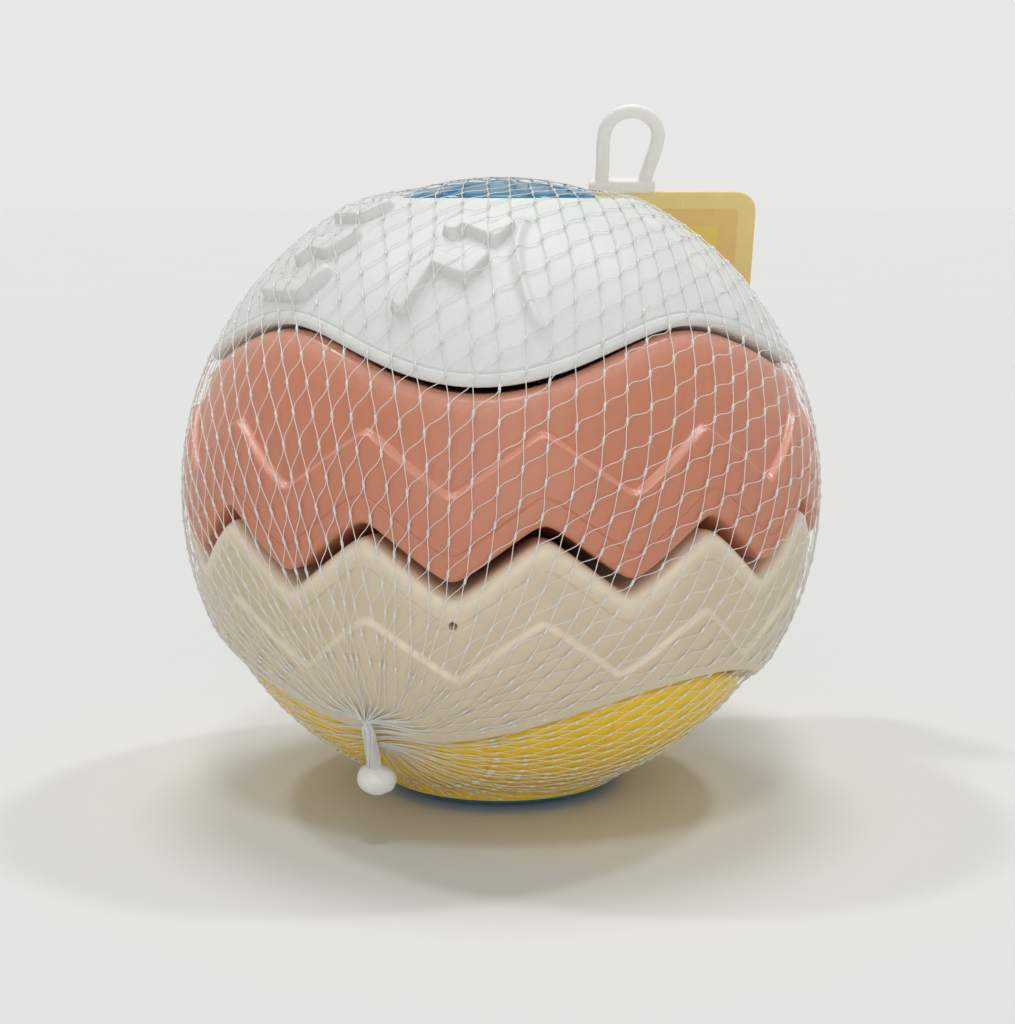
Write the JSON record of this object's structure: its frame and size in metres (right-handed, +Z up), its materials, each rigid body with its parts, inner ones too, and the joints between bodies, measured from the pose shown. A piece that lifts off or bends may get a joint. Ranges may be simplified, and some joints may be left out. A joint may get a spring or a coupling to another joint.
{
  "type": "stacking sensory ball",
  "caption": "Ball of stacked soft plastic layers on a domed core post, with waved and toothed seams, in a knotted net with a header card and hang loop.",
  "frame": {"origin": "centre of the flat foot, on the surface that the ball stands on", "axes": "+Z up along the core post, -Y towards the pictured front, +X to the right seen from the front"},
  "size_m": [0.1316, 0.1365, 0.1422],
  "materials": {
    "blue_plastic": "glossy moulded plastic",
    "yellow_plastic": "satin blow-moulded plastic",
    "beige_plastic": "satin blow-moulded plastic",
    "pink_plastic": "satin blow-moulded plastic",
    "white_plastic": "satin blow-moulded plastic with a fine grain",
    "net_filament": "glossy extruded filament",
    "seal_plastic": "melted plastic",
    "yellow_card": "coated card",
    "loop_plastic": "moulded plastic"
  },
  "bodies": {
    "core": {"core_post": "blue_plastic"},
    "bowl": {"base_bowl": "yellow_plastic", "net_base": "net_filament", "net_seal": "seal_plastic"},
    "lower": {"lower_ring": "beige_plastic", "net_lower": "net_filament"},
    "upper": {"upper_ring": "pink_plastic", "net_upper": "net_filament"},
    "cap": {"top_cap": "white_plastic", "net_top": "net_filament", "net_tail": "net_filament", "header_card": "yellow_card", "hang_loop": "loop_plastic"}
  },
  "joints": [
    {"name": "bowl_lift", "type": "slide", "parent": "core", "child": "bowl", "axis": [0, 0, 1], "range_m": [0, 0.125]},
    {"name": "lower_lift", "type": "slide", "parent": "bowl", "child": "lower", "axis": [0, 0, 1], "range_m": [0, 0.108]},
    {"name": "upper_lift", "type": "slide", "parent": "lower", "child": "upper", "axis": [0, 0, 1], "range_m": [0, 0.074]},
    {"name": "cap_lift", "type": "slide", "parent": "upper", "child": "cap", "axis": [0, 0, 1], "range_m": [0, 0.045]}
  ]
}
